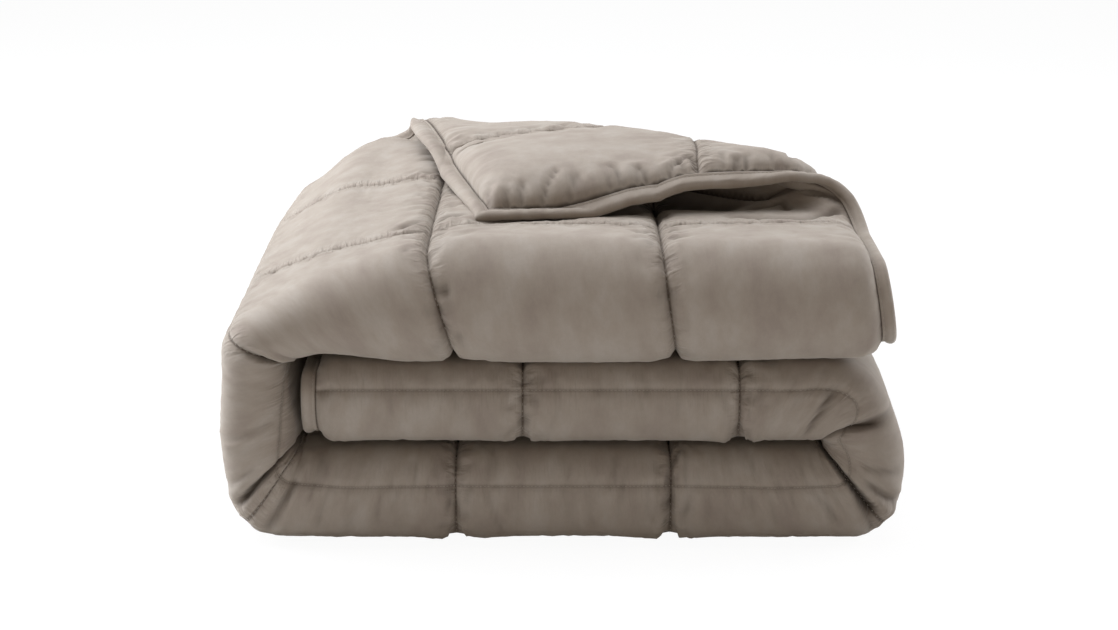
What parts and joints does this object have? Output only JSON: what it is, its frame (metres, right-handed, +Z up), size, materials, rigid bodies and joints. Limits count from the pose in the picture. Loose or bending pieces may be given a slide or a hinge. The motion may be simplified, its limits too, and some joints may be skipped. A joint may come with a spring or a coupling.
{
  "type": "folded quilted duvet",
  "caption": "Box-quilted single duvet with a bound edge, folded in half and in three, one corner turned back.",
  "frame": {"origin": "centre of the stack's footprint, on the surface it lies on", "axes": "+X along the front fold towards the open hem, +Y from the front fold to the loose edges at the back, +Z up"},
  "size_m": [0.7208, 0.7386, 0.3671],
  "materials": {
    "quilt_cover": "soft matt brushed microfibre, greige",
    "binding_tape": "the same brushed microfibre as a folded tape, greige"
  },
  "bodies": {
    "root": {"quilt": "quilt_cover", "binding": "binding_tape"}
  },
  "joints": []
}
